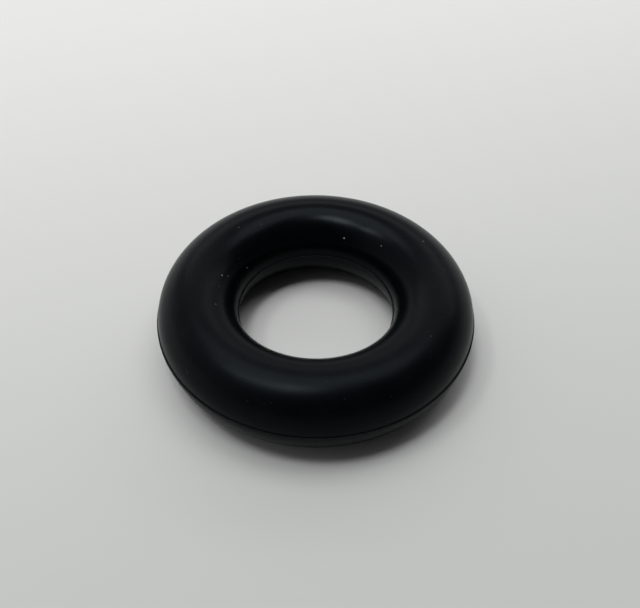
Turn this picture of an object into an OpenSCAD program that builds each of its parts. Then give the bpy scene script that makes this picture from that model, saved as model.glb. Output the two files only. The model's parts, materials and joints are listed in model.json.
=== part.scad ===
// Moulded rubber ring: one solid with a round section. Where the two halves of the
// mould met, the rubber that was trimmed away left a narrow straight land round the
// outside and the inside of the ring, which stands a little proud of the two rounds.

/* [Ring] */
// Diameter of the hole between the rounds, without the land
bore_d = 19.9; // [12:0.1:60]
// Thickness of the round section, measured across the ring
section_d = 10.05; // [4:0.05:20]

/* [Parting land] */
// Height of the straight land between the lower and the upper round
land_h = 0.3; // [0.2:0.05:1]
// How far the land stands proud of the rounds
land_proud = 0.15; // [0.05:0.01:0.4]

/* [Look] */
// Colour of the rubber
rubber_colour = "#141516"; // ["#141516":Black, "#3a3c3e":Dark grey, "#7a1f1a":Red]

/* [Hidden] */
// Radius of the section's two rounds
section_r = section_d / 2;
// Distance from the ring's axis to the middle of the section
pitch_r = bore_d / 2 + section_r;
// Heights of the centres of the two rounds, with the ring lying on z = 0
lower_z = section_r;
upper_z = lower_z + land_h;
// Distance from the middle of the section to the face of the land
land_reach = section_r + land_proud;
// Sides of a full round
round_fn = 180;

// Section of the rubber, with x as the distance from the ring's axis
module section_outline() {
    translate([pitch_r, lower_z])
        circle(r = section_r, $fn = round_fn);
    translate([pitch_r, upper_z])
        circle(r = section_r, $fn = round_fn);
    translate([pitch_r - land_reach, lower_z])
        square([2 * land_reach, land_h]);
}

module rubber_ring() {
    color(rubber_colour)
        rotate_extrude($fn = round_fn)
            section_outline();
}

rubber_ring();
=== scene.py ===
"""A moulded black rubber ring on a pale studio floor, laid out as a Blender add-on and run as a script."""

import json
import math

import bmesh
import bpy
from bpy.props import FloatProperty, FloatVectorProperty, IntProperty, PointerProperty
from mathutils import Matrix, Vector


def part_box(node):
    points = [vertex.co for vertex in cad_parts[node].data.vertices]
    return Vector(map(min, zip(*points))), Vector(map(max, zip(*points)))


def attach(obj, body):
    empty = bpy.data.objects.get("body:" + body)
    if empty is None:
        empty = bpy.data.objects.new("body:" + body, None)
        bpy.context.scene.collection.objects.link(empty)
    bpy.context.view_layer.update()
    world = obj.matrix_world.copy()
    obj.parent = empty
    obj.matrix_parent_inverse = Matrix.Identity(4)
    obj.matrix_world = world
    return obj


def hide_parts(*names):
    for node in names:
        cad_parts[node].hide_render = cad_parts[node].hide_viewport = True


bl_info = {
    "name": "Rubber Ring",
    "version": (1, 0, 0),
    "blender": (4, 5, 0),
    "location": "3D View > Sidebar > Rubber Ring",
    "description": "Builds a moulded rubber ring with its parting line, and a pale studio to show it in",
    "category": "Add Mesh",
}

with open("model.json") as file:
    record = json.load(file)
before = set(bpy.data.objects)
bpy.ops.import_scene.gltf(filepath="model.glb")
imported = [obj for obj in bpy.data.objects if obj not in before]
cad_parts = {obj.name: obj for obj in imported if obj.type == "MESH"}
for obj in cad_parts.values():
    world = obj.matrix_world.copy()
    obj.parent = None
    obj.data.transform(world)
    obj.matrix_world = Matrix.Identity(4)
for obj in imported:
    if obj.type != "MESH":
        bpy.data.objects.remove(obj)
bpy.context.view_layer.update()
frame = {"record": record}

MM = 0.001
CAD_NODE = "rubber_ring"

# The ring's sizes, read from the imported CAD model.
MOUNTS = {mount["name"]: mount for mount in frame["record"]["mounts"]}
NODE_LOW, NODE_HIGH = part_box(CAD_NODE)
OUTSIDE_RADIUS = NODE_HIGH[0]
HOLE_RADIUS = MOUNTS["hole"]["dims"]["r_mm"] * MM
LAND_HEIGHT = MOUNTS["hole"]["dims"]["length_mm"] * MM
RING_FOOT = NODE_LOW[2]
RING_HEIGHT = NODE_HIGH[2] - NODE_LOW[2]

# How the ring's skin is made: points nearer than the weld become one, an edge bent past the crease stays
# sharp, a short facet at each end of a round, in degrees, keeps its shading true up to the land, and each
# edge of the land is rounded in a few steps.
WELD = 0.0002 * MM
CREASE = math.radians(50)
END_FACET = 0.4
LIP_STEPS = 4

# The trimmed faces on top of the land: how much they face upwards at least, where 1 is straight up, and
# the place of their finish among the ring's finishes.
FACES_UP = 0.6
TRIMMED_FINISH = 1

# Noises on the rubber: patches to the metre, layers of finer patches, and how much the finer ones count.
# The middle is the value that each of them swings about.
CLOUDS = (260.0, 4.0, 0.6)
GRAIN = (3600.0, 3.0, 0.6)
TEARS = (2500.0, 3.0, 0.5)
FRAY = (9000.0, 1.0, 0.5)
NOISE_MIDDLE = (0.5, 0.5, 0.5)

# What the noises do: the bloom and the uneven gloss each grow over a span of the clouds, and the grain
# stands up by its depth.
BLOOM_SPAN = (0.35, 0.70)
UNEVEN_SPAN = (0.3, 0.7)
UNEVEN_ROUGHNESS = 0.02
GRAIN_STRENGTH = 0.35
GRAIN_DEPTH = 0.016 * MM

# The span over which the rubber's gloss changes, from the near side that handling has dulled to the far.
HANDLED_SPAN = (-16 * MM, 16 * MM)

# Roughness of what has no gloss: the torn land and the floor.
MATT_ROUGHNESS = 0.9

# The floor's colour is painted lighter on its far side and darker on its near side between two places along
# its turned Y axis, a painted light falloff and painted shade; the floor reflects very little.
FLOOR_PAINTED_SHADE_SPAN = (-90 * MM, 130 * MM)
FLOOR_SPECULAR = 0.1

# The room: the compass angle of its bright side, the span of the turn away from it, as a cosine, over
# which the light drops, and the span of the rise from the horizon, as a sine, over which the top begins.
BRIGHT_SIDE = math.radians(-34)
SIDE_TURN = (-0.45, 0.46)
HORIZON_RISE = (0.12, 0.22)

# Where the camera stands and what it aims at. The image width and the focal length are in pixels, and the
# sensor is in millimetres. The aim is off the ring's middle by a little in the camera's own directions.
IMAGE_WIDTH = 640
FOCAL_PIXELS = 819.0
SENSOR_WIDTH = 36.0
CAMERA_RISE = math.radians(46.09)
CAMERA_ROLL = math.radians(0.727)
CAMERA_DISTANCE = 104.88 * MM
CAMERA_NEAR = 1 * MM
AIM_RIGHT = 0.519 * MM
AIM_UP = 0.523 * MM
AIM_HEIGHT = 5.325 * MM

# Soft panels of light: name, compass angle (0 is the far side, -90 the left), height angle, distance,
# width, height in metres, and brightness, where a floor lit from all round at 1 shows its own colour.
LIGHT_PANELS = (
    ("overhead", 5, 73, 1.50, 1.60, 0.68, 2.45),
    ("high_key", -118, 79, 1.20, 0.23, 0.38, 14.0),
    ("low_key", -92, 63, 1.20, 0.28, 0.127, 14.0),
    ("far_strip", 12, 36, 1.50, 2.40, 0.31, 1.15),
)

# Dust specks on the rubber: place round the ring in degrees (0 is the right, 90 the far side), place
# round the section in degrees (0 is outermost, 90 the crest), reach in mm, and strength.
SPECKS = (
    (70.5, 144.5, 0.17, 1.0),
    (43.0, 132.5, 0.12, 0.7),
    (150.5, 155.5, 0.13, 0.6),
    (136.5, 98.0, 0.12, 0.5),
    (124.5, 111.0, 0.10, 0.3),
    (172.0, 126.5, 0.16, 0.8),
    (169.5, 135.5, 0.11, 0.5),
    (181.5, 125.5, 0.10, 0.3),
    (197.5, 117.5, 0.13, 0.4),
    (-33.5, 76.5, 0.10, 0.3),
    (28.5, 81.0, 0.12, 0.6),
    (-66.5, -4.0, 0.09, 0.3),
    (64.0, 22.0, 0.13, 0.6),
    (101.0, -24.0, 0.10, 0.4),
    (137.0, 8.0, 0.12, 0.5),
    (13.0, -38.0, 0.11, 0.4),
    (-8.0, 195.0, 0.10, 0.4),
    (-74.0, 172.0, 0.12, 0.5),
    (-118.0, 248.0, 0.12, 0.5),
    (52.0, 262.0, 0.11, 0.4),
    (158.0, 283.0, 0.13, 0.5),
)

# Scratches and nicks: the two ends, each as places round the ring and round the section in degrees, half
# width in mm, and strength.
SCRATCHES = (
    ((-141.0, 31.0), (-137.9, 24.8), 0.055, 0.16),
    ((-105.7, -8.0), (-104.6, 0.5), 0.08, 0.14),
    ((84.0, 28.0), (87.5, 22.0), 0.055, 0.15),
    ((158.0, -14.0), (155.0, -21.0), 0.055, 0.14),
    ((20.0, 252.0), (24.0, 245.0), 0.055, 0.15),
)

# The share of a speck's reach that shows at its full strength, and how far its edge is frayed.
SPOT_CORE = 0.35
FRAY_REACH = 0.12 * MM

# The finest dust: patches to the metre, where the speck in a patch fades out, the span of chance over
# which a patch's speck gets stronger, and the strength of the strongest.
FILM_SCALE = 1500.0
FILM_FADE = (0.04, 0.16)
FILM_CHANCE = (0.55, 1.0)
FILM_STRENGTH = 0.09

# A Mix node has sockets of the same name for each kind of value. These are the places of its colours.
MIX_FIRST = 6
MIX_SECOND = 7
MIX_RESULT = 2


class RingSizes(bpy.types.PropertyGroup):
    """Sizes of the rubber ring."""

    outside_radius: FloatProperty(
        name="Outside radius",
        description="Radius of the raised land round the outside",
        default=OUTSIDE_RADIUS,
        unit="LENGTH",
    )
    hole_radius: FloatProperty(
        name="Hole radius",
        description="Radius of the raised land round the hole",
        default=HOLE_RADIUS,
        unit="LENGTH",
    )
    height: FloatProperty(
        name="Height",
        description="Height of the ring as it lies",
        default=RING_HEIGHT,
        unit="LENGTH",
    )
    land_height: FloatProperty(
        name="Land height",
        description="Height of the raised land where the halves of the mould met",
        default=LAND_HEIGHT,
        unit="LENGTH",
    )
    lip_radius: FloatProperty(
        name="Lip radius",
        description="Rounding of the land's two edges",
        default=0.02 * MM,
        unit="LENGTH",
    )
    half_steps: IntProperty(
        name="Section steps",
        description="Facets round each half of the section",
        default=54,
        min=8,
        subtype="UNSIGNED",
    )
    turn_steps: IntProperty(
        name="Turn steps",
        description="Facets round the ring",
        default=620,
        min=24,
        subtype="UNSIGNED",
    )


class RubberFinish(bpy.types.PropertyGroup):
    """Colour and gloss of the black rubber."""

    deep_colour: FloatVectorProperty(
        name="Deep colour",
        description="Colour of the rubber at its darkest",
        default=(0.0010, 0.0016, 0.0022),
        size=3,
        subtype="COLOR",
    )
    bloom_colour: FloatVectorProperty(
        name="Bloom colour",
        description="Colour of the rubber where its surface has bloomed a little",
        default=(0.0018, 0.0024, 0.0030),
        size=3,
        subtype="COLOR",
    )
    torn_colour: FloatVectorProperty(
        name="Torn colour",
        description="Colour of the torn rubber where the mould's overflow was trimmed",
        default=(0.026, 0.029, 0.032),
        size=3,
        subtype="COLOR",
    )
    dust_colour: FloatVectorProperty(
        name="Dust colour",
        description="Colour of the dust specks and scratches",
        default=(0.22, 0.23, 0.24),
        size=3,
        subtype="COLOR",
    )
    glossy_roughness: FloatProperty(
        name="Glossy side",
        description="Roughness of the satin surface on its glossier side",
        default=0.22,
        min=0.0,
        max=1.0,
        subtype="FACTOR",
    )
    dull_roughness: FloatProperty(
        name="Dull side",
        description="Roughness of the satin surface on the side that handling has dulled",
        default=0.33,
        min=0.0,
        max=1.0,
        subtype="FACTOR",
    )
    specular: FloatProperty(
        name="Specular level",
        description="Strength of the surface's reflection",
        default=0.066,
        min=0.0,
        max=1.0,
        subtype="FACTOR",
    )
    reflection_tint: FloatVectorProperty(
        name="Reflection tint",
        description="Cool tint of the surface's reflection",
        default=(0.78, 0.91, 1.0),
        size=3,
        subtype="COLOR",
    )


class StudioLook(bpy.types.PropertyGroup):
    """Floor colour, with its painted light falloff and painted shade, and light of the studio."""

    # Painted light: the floor behind the ring is painted lighter, standing in for the light that falls off
    # towards the near side.
    far_floor_painted_light: FloatVectorProperty(
        name="Far floor painted light",
        description="Colour of the pale floor behind the ring",
        default=(0.82, 0.82, 0.81),
        size=3,
        subtype="COLOR",
    )
    # Painted shade: the floor in front of the ring is painted darker, standing in for shade and light falloff
    # on the near side.
    near_floor_painted_shade: FloatVectorProperty(
        name="Near floor painted shade",
        description="Colour of the pale floor in front of the ring",
        default=(0.495, 0.51, 0.50),
        size=3,
        subtype="COLOR",
    )
    floor_turn: FloatProperty(
        name="Floor turn",
        description="Turn of the floor's fading from straight towards the far side",
        default=math.radians(15),
        unit="ROTATION",
    )
    floor_half_width: FloatProperty(
        name="Floor half width",
        description="Half the side of the floor",
        default=1.6,
        unit="LENGTH",
    )
    light_scale: FloatProperty(
        name="Light scale",
        description="One factor on every panel of light",
        default=1.0,
        min=0.0,
        soft_max=2.0,
        subtype="FACTOR",
    )
    room_colour: FloatVectorProperty(
        name="Room colour",
        description="Pale colour of the room at the horizon",
        default=(0.94, 0.94, 0.94),
        size=3,
        subtype="COLOR",
    )
    room_top: FloatProperty(
        name="Room top",
        description="Brightness of the top of the room, as a share of the horizon's",
        default=0.56,
        min=0.0,
        max=1.0,
        subtype="FACTOR",
    )
    horizon_dim_side: FloatProperty(
        name="Dim side of the horizon",
        description="Brightness of the horizon's dim side, as a share of its bright side's",
        default=0.45,
        min=0.0,
        max=1.0,
        subtype="FACTOR",
    )
    top_dim_side: FloatProperty(
        name="Dim side above",
        description="Brightness of the room's dim side above the horizon, as a share of its bright side's",
        default=0.06,
        min=0.0,
        max=1.0,
        subtype="FACTOR",
    )


# ---------------------------------------------------------------------------------------------------
# Small helpers
# ---------------------------------------------------------------------------------------------------


def fill(tree, socket, value):
    """Links an input to another node's output, or gives it a plain value."""
    if isinstance(value, bpy.types.NodeSocket):
        tree.links.new(value, socket)
    else:
        socket.default_value = value


def add_node(tree, kind, settings=None, **inputs):
    """Adds a node with its settings, and fills its inputs by name; _ stands for a space."""
    made = tree.nodes.new(kind)
    for name, value in (settings or {}).items():
        setattr(made, name, value)
    for name, value in inputs.items():
        fill(tree, made.inputs[name.replace("_", " ")], value)
    return made


def work_out(tree, kind, operation, *values):
    """Adds a node of one of the two maths kinds, and fills its inputs in their order."""
    made = add_node(tree, kind, {"operation": operation})
    for socket, value in zip(made.inputs, values):
        fill(tree, socket, value)
    return made


def number_maths(tree, operation, *values):
    """The number that an operation makes of its values."""
    return work_out(tree, "ShaderNodeMath", operation, *values).outputs["Value"]


def vector_maths(tree, operation, *values):
    """The outputs of an operation on vectors: a Vector or a Value, whichever it makes."""
    return work_out(tree, "ShaderNodeVectorMath", operation, *values).outputs


def ramp(tree, value, span, low=0.0, high=1.0, course="LINEAR"):
    """Goes from low to high while the value crosses the span, and stays level on both sides of it."""
    made = add_node(
        tree,
        "ShaderNodeMapRange",
        {"interpolation_type": course},
        Value=value,
        From_Min=span[0],
        From_Max=span[1],
        To_Min=low,
        To_Max=high,
    )
    return made.outputs["Result"]


def soft_ramp(tree, value, span, low=0.0, high=1.0):
    """A ramp that starts and ends gently."""
    return ramp(tree, value, span, low, high, "SMOOTHSTEP")


def noise(tree, place, scale, detail, roughness):
    """A cloudy noise over the place."""
    return add_node(tree, "ShaderNodeTexNoise", Vector=place, Scale=scale, Detail=detail, Roughness=roughness)


def opaque(colour):
    """A colour as a socket takes it."""
    return (*colour, 1)


def mix_colours(tree, share, first, second):
    """The first colour where the share is 0, the second where it is 1, and a mixture between."""
    mix = add_node(tree, "ShaderNodeMix", {"data_type": "RGBA"}, Factor=share)
    fill(tree, mix.inputs[MIX_FIRST], first)
    fill(tree, mix.inputs[MIX_SECOND], second)
    return mix.outputs[MIX_RESULT]


def new_material(name):
    """A new material, its node tree, its shader, and the place on the object that its patterns follow."""
    material = bpy.data.materials.new(name)
    material.use_nodes = True
    tree = material.node_tree
    place = add_node(tree, "ShaderNodeTexCoord").outputs["Object"]
    return material, tree, tree.nodes["Principled BSDF"], place


def place_mesh(name, bm, material):
    """Turns a finished bmesh into an object at the origin with one material."""
    mesh = bpy.data.meshes.new(name)
    bm.to_mesh(mesh)
    bm.free()
    mesh.materials.append(material)
    piece = bpy.data.objects.new(name, mesh)
    bpy.context.scene.collection.objects.link(piece)
    return piece


def line_to(bm, last, across, up):
    """Extrudes the outline's last point to a new place in the XZ plane."""
    new = bmesh.ops.extrude_vert_indiv(bm, verts=[last])["verts"][0]
    new.co = (across, 0, up)
    return new


def arc_round(bm, last, centre, degrees, steps):
    """Sweeps the outline's last point round a centre in the XZ plane; positive turns from +X to +Z."""
    swept = bmesh.ops.spin(
        bm,
        geom=[last],
        cent=(centre[0], 0, centre[1]),
        axis=(0, -1, 0),
        angle=math.radians(degrees),
        steps=steps,
    )
    return next(part for part in swept["geom_last"] if isinstance(part, bmesh.types.BMVert))


# ---------------------------------------------------------------------------------------------------
# The ring's shape
# ---------------------------------------------------------------------------------------------------


def section_of(sizes):
    """The section's measures: the radius of its rounds, how far out they lie, and their two levels."""
    round_radius = (sizes.height - sizes.land_height) / 2
    pitch = (sizes.outside_radius + sizes.hole_radius) / 2
    lower = RING_FOOT + round_radius
    return round_radius, pitch, lower, lower + sizes.land_height


def draw_section(bm, sizes):
    """Draws the ring's closed section: two rounds, and the raised land that the mould left between them."""
    round_radius, pitch, lower, upper = section_of(sizes)
    lip = sizes.lip_radius
    lip_centre = (sizes.outside_radius - sizes.hole_radius) / 2 - lip

    last = bm.verts.new((pitch + round_radius, 0, upper))
    first = last
    # The upper round runs from the outside to the hole, and the lower round runs back.
    for side, base, far in ((1, upper, lower), (-1, lower, upper)):
        last = arc_round(bm, last, (pitch, base), END_FACET, 1)
        last = arc_round(bm, last, (pitch, base), 180 - 2 * END_FACET, sizes.half_steps)
        last = arc_round(bm, last, (pitch, base), END_FACET, 1)
        # The step out to the land, and the land with its two rounded edges.
        land = pitch - side * lip_centre
        last = line_to(bm, last, land, base)
        last = arc_round(bm, last, (land, base - side * lip), 90, LIP_STEPS)
        last = line_to(bm, last, last.co.x, base - side * 2 * lip)
        last = line_to(bm, last, last.co.x, far + side * 2 * lip)
        last = line_to(bm, last, last.co.x, far + side * lip)
        last = arc_round(bm, last, (land, far + side * lip), 90, LIP_STEPS)
        if side == 1:
            last = line_to(bm, last, pitch - round_radius, far)
    bm.edges.new((last, first))


def mark_trimmed_faces(bm, sizes):
    """Gives the trimmed top of the land its own finish."""
    _, _, _, upper = section_of(sizes)
    for face in bm.faces:
        level = abs(face.calc_center_median().z - upper) < sizes.lip_radius / 2
        if level and face.normal.z > FACES_UP:
            face.material_index = TRIMMED_FINISH


# ---------------------------------------------------------------------------------------------------
# The rubber's finishes
# ---------------------------------------------------------------------------------------------------


def trimmed_rubber(finish):
    """Torn, matt rubber on top of the land, where the mould's overflow was trimmed away."""
    material, tree, shader, place = new_material("trimmed_rubber")
    tears = noise(tree, place, *TEARS).outputs["Fac"]
    colour = mix_colours(tree, tears, opaque(finish.deep_colour), opaque(finish.torn_colour))
    tree.links.new(colour, shader.inputs["Base Color"])
    shader.inputs["Roughness"].default_value = MATT_ROUGHNESS
    shader.inputs["Specular IOR Level"].default_value = 0.0
    return material


def skin_point(sizes, turn, around):
    """A point on the rubber's skin, from its places round the ring and round the section in degrees."""
    round_radius, pitch, lower, upper = section_of(sizes)
    rise = math.sin(math.radians(around))
    reach = pitch + round_radius * math.cos(math.radians(around))
    height = (upper if rise > 0 else lower) + round_radius * rise
    angle = math.radians(turn)
    return Vector((reach * math.cos(angle), reach * math.sin(angle), height))


def spot(tree, distance, reach, strength):
    """A soft spot: the strength where the distance is nought, and nothing past the reach."""
    return soft_ramp(tree, distance, (SPOT_CORE * reach, reach), strength, 0.0)


def speck_mask(tree, place, sizes, turn, around, reach, strength):
    """Where one dust speck lies."""
    apart = vector_maths(tree, "DISTANCE", place, skin_point(sizes, turn, around))["Value"]
    return spot(tree, apart, reach * MM, strength)


def scratch_mask(tree, place, sizes, start, end, half_width, strength):
    """Where one scratch lies: a spot drawn out long on the straight line between its ends."""
    first = skin_point(sizes, *start)
    last = skin_point(sizes, *end)
    length = (last - first).length
    drawn_out = add_node(
        tree,
        "ShaderNodeMapping",
        {"vector_type": "TEXTURE"},
        Vector=place,
        Location=(first + last) / 2,
        Rotation=(last - first).to_track_quat("Z", "Y").to_euler(),
        Scale=(1, 1, max(1.0, length / (2 * half_width * MM))),
    )
    apart = vector_maths(tree, "LENGTH", drawn_out.outputs["Vector"])["Value"]
    return spot(tree, apart, half_width * MM, strength)


def film_mask(tree, place):
    """The finest dust: scattered specks, most of them too faint to see."""
    patches = add_node(tree, "ShaderNodeTexVoronoi", Vector=place, Scale=FILM_SCALE)
    speck = soft_ramp(tree, patches.outputs["Distance"], FILM_FADE, 1.0, 0.0)
    chance = add_node(tree, "ShaderNodeSeparateColor", Color=patches.outputs["Color"]).outputs["Red"]
    faint = ramp(tree, chance, FILM_CHANCE, 0.0, FILM_STRENGTH)
    return number_maths(tree, "MULTIPLY", speck, faint)


def frayed(tree, place):
    """The place pushed to and fro by a fine noise, so that what is drawn on it has ragged edges."""
    push = noise(tree, place, *FRAY).outputs["Color"]
    centred = vector_maths(tree, "SUBTRACT", push, NOISE_MIDDLE)["Vector"]
    return vector_maths(tree, "MULTIPLY_ADD", centred, (FRAY_REACH,) * 3, place)["Vector"]


def dust_and_scratches(tree, place, sizes):
    """One mask of the fine dust and every speck and scratch: the strongest of them counts."""
    ragged = frayed(tree, place)
    whole = film_mask(tree, place)
    for speck in SPECKS:
        whole = number_maths(tree, "MAXIMUM", whole, speck_mask(tree, ragged, sizes, *speck))
    for scratch in SCRATCHES:
        whole = number_maths(tree, "MAXIMUM", whole, scratch_mask(tree, ragged, sizes, *scratch))
    return whole


def black_rubber(finish, sizes):
    """Satin black rubber with a faint bloom, a fine grain from the mould and a little dust."""
    material, tree, shader, place = new_material("black_rubber")
    clouds = noise(tree, place, *CLOUDS).outputs["Fac"]
    grain = noise(tree, place, *GRAIN).outputs["Fac"]

    bloom = ramp(tree, clouds, BLOOM_SPAN)
    rubber = mix_colours(tree, bloom, opaque(finish.deep_colour), opaque(finish.bloom_colour))
    dust = dust_and_scratches(tree, place, sizes)
    colour = mix_colours(tree, dust, rubber, opaque(finish.dust_colour))

    along = add_node(tree, "ShaderNodeSeparateXYZ", Vector=place).outputs["Y"]
    handled = ramp(tree, along, HANDLED_SPAN, finish.dull_roughness, finish.glossy_roughness)
    uneven = ramp(tree, clouds, UNEVEN_SPAN, -UNEVEN_ROUGHNESS, UNEVEN_ROUGHNESS)
    roughness = number_maths(tree, "ADD", handled, uneven)
    bump = add_node(tree, "ShaderNodeBump", Strength=GRAIN_STRENGTH, Distance=GRAIN_DEPTH, Height=grain)

    tree.links.new(colour, shader.inputs["Base Color"])
    tree.links.new(roughness, shader.inputs["Roughness"])
    tree.links.new(bump.outputs["Normal"], shader.inputs["Normal"])
    shader.inputs["Specular IOR Level"].default_value = finish.specular
    shader.inputs["Specular Tint"].default_value = opaque(finish.reflection_tint)
    return material


# ---------------------------------------------------------------------------------------------------
# The studio
# ---------------------------------------------------------------------------------------------------


def floor_paper(look):
    """Matt pale floor whose colour is painted to fade a little from its far side to its near side: painted
    light falloff and painted shade.
    """
    material, tree, shader, place = new_material("pale_floor")
    turned = add_node(tree, "ShaderNodeMapping", Vector=place, Rotation=(0, 0, -look.floor_turn))
    along = add_node(tree, "ShaderNodeSeparateXYZ", Vector=turned.outputs["Vector"]).outputs["Y"]
    # Painted shade: the colour darkens towards the near side, standing in for light falloff.
    fade = soft_ramp(tree, along, FLOOR_PAINTED_SHADE_SPAN)
    colour = mix_colours(tree, fade, opaque(look.near_floor_painted_shade), opaque(look.far_floor_painted_light))
    tree.links.new(colour, shader.inputs["Base Color"])
    shader.inputs["Roughness"].default_value = MATT_ROUGHNESS
    shader.inputs["Specular IOR Level"].default_value = FLOOR_SPECULAR
    return material


def lay_floor(look):
    """One large flat floor under the ring."""
    bm = bmesh.new()
    bmesh.ops.create_grid(bm, x_segments=1, y_segments=1, size=look.floor_half_width)
    place_mesh("floor", bm, floor_paper(look))


def hang_panel(name, compass, rise, distance, width, height, brightness):
    """Hangs one soft panel that faces the ring; its power grows with its area and its brightness."""
    turn = math.radians(compass)
    lift = math.radians(rise)
    way = Vector((math.sin(turn) * math.cos(lift), math.cos(turn) * math.cos(lift), math.sin(lift)))
    light = bpy.data.lights.new(name, "AREA")
    light.shape = "RECTANGLE"
    light.size = width
    light.size_y = height
    light.energy = brightness * math.pi * width * height
    lamp = bpy.data.objects.new(name, light)
    lamp.location = way * distance
    lamp.rotation_euler = way.to_track_quat("Z", "Y").to_euler()
    bpy.context.scene.collection.objects.link(lamp)


def paint_room(look):
    """A plain room: pale at the horizon, dimmer above, and dimmest on its near right side."""
    world = bpy.data.worlds.new("plain_room")
    world.use_nodes = True
    tree = world.node_tree
    way = add_node(tree, "ShaderNodeTexCoord").outputs["Generated"]
    rise = add_node(tree, "ShaderNodeSeparateXYZ", Vector=way).outputs["Z"]
    bright_way = (math.sin(BRIGHT_SIDE), math.cos(BRIGHT_SIDE), 0)
    towards = vector_maths(tree, "DOT_PRODUCT", way, bright_way)["Value"]
    horizon = soft_ramp(tree, towards, SIDE_TURN, look.horizon_dim_side, 1.0)
    above = soft_ramp(tree, towards, SIDE_TURN, look.top_dim_side * look.room_top, look.room_top)
    background = tree.nodes["Background"]
    background.inputs["Color"].default_value = opaque(look.room_colour)
    tree.links.new(soft_ramp(tree, rise, HORIZON_RISE, horizon, above), background.inputs["Strength"])
    bpy.context.scene.world = world


def stand_camera():
    """Stands the camera over the near side of the ring, with a long lens and a slight roll."""
    back = Vector((0, -math.cos(CAMERA_RISE), math.sin(CAMERA_RISE)))
    level = Vector((1, 0, 0))
    upright = back.cross(level)
    right = math.cos(CAMERA_ROLL) * level + math.sin(CAMERA_ROLL) * upright
    up = math.cos(CAMERA_ROLL) * upright - math.sin(CAMERA_ROLL) * level
    aim = Vector((0, 0, AIM_HEIGHT)) + AIM_RIGHT * right + AIM_UP * up

    lens = bpy.data.cameras.new("camera")
    lens.sensor_width = SENSOR_WIDTH
    lens.lens = SENSOR_WIDTH * FOCAL_PIXELS / IMAGE_WIDTH
    lens.clip_start = CAMERA_NEAR
    camera = bpy.data.objects.new("camera", lens)
    bpy.context.scene.collection.objects.link(camera)
    turned = Matrix((right, up, back)).transposed().to_4x4()
    camera.matrix_world = Matrix.Translation(aim + CAMERA_DISTANCE * back) @ turned
    bpy.context.scene.camera = camera


# ---------------------------------------------------------------------------------------------------
# The operators and their panel
# ---------------------------------------------------------------------------------------------------


class RING_OT_mould(bpy.types.Operator):
    """Mould the rubber ring: its section is turned once round the upright axis"""

    bl_idname = "rubber_ring.mould"
    bl_label = "Mould the ring"

    def execute(self, context):
        sizes = context.scene.ring_sizes
        bm = bmesh.new()
        draw_section(bm, sizes)
        bmesh.ops.spin(
            bm,
            geom=bm.verts[:] + bm.edges[:],
            cent=(0, 0, 0),
            axis=(0, 0, 1),
            angle=2 * math.pi,
            steps=sizes.turn_steps,
            use_merge=True,
        )
        bmesh.ops.remove_doubles(bm, verts=bm.verts[:], dist=WELD)
        bmesh.ops.recalc_face_normals(bm, faces=bm.faces[:])
        if not bm.faces or not all(edge.is_manifold for edge in bm.edges):
            raise RuntimeError("the ring's skin isn't closed")
        for face in bm.faces:
            face.smooth = True
        for edge in bm.edges:
            edge.smooth = edge.calc_face_angle() < CREASE
        mark_trimmed_faces(bm, sizes)
        finish = context.scene.rubber_finish
        ring = place_mesh("moulded_ring", bm, black_rubber(finish, sizes))
        ring.data.materials.append(trimmed_rubber(finish))
        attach(ring, "root")
        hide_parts(CAD_NODE)
        return {"FINISHED"}


class RING_OT_stage(bpy.types.Operator):
    """Set the stage: the pale floor, the plain room, the panels of light and the camera"""

    bl_idname = "rubber_ring.stage"
    bl_label = "Set the stage"

    def execute(self, context):
        look = context.scene.studio_look
        lay_floor(look)
        paint_room(look)
        for name, compass, rise, distance, width, height, brightness in LIGHT_PANELS:
            hang_panel(name, compass, rise, distance, width, height, brightness * look.light_scale)
        stand_camera()
        context.scene.view_settings.view_transform = "Standard"
        return {"FINISHED"}


class RING_PT_panel(bpy.types.Panel):
    """The rubber ring's panel in the sidebar"""

    bl_idname = "RING_PT_panel"
    bl_label = "Rubber Ring"
    bl_space_type = "VIEW_3D"
    bl_region_type = "UI"
    bl_category = "Rubber Ring"

    def draw(self, context):
        for group in (context.scene.ring_sizes, context.scene.rubber_finish, context.scene.studio_look):
            box = self.layout.box()
            for name in group.__annotations__:
                box.prop(group, name)
        for operator in OPERATORS:
            self.layout.operator(operator.bl_idname)


OPERATORS = (RING_OT_stage, RING_OT_mould)
CLASSES = (RingSizes, RubberFinish, StudioLook, *OPERATORS, RING_PT_panel)


def register():
    """Registers the classes and puts their settings on the scene."""
    for item in CLASSES:
        bpy.utils.register_class(item)
    bpy.types.Scene.ring_sizes = PointerProperty(type=RingSizes)
    bpy.types.Scene.rubber_finish = PointerProperty(type=RubberFinish)
    bpy.types.Scene.studio_look = PointerProperty(type=StudioLook)


def unregister():
    """Takes away what register added, last things first."""
    del bpy.types.Scene.studio_look
    del bpy.types.Scene.rubber_finish
    del bpy.types.Scene.ring_sizes
    for item in reversed(CLASSES):
        bpy.utils.unregister_class(item)


def main():
    register()
    bpy.ops.rubber_ring.stage()
    bpy.ops.rubber_ring.mould()


if __name__ == "__main__":
    main()
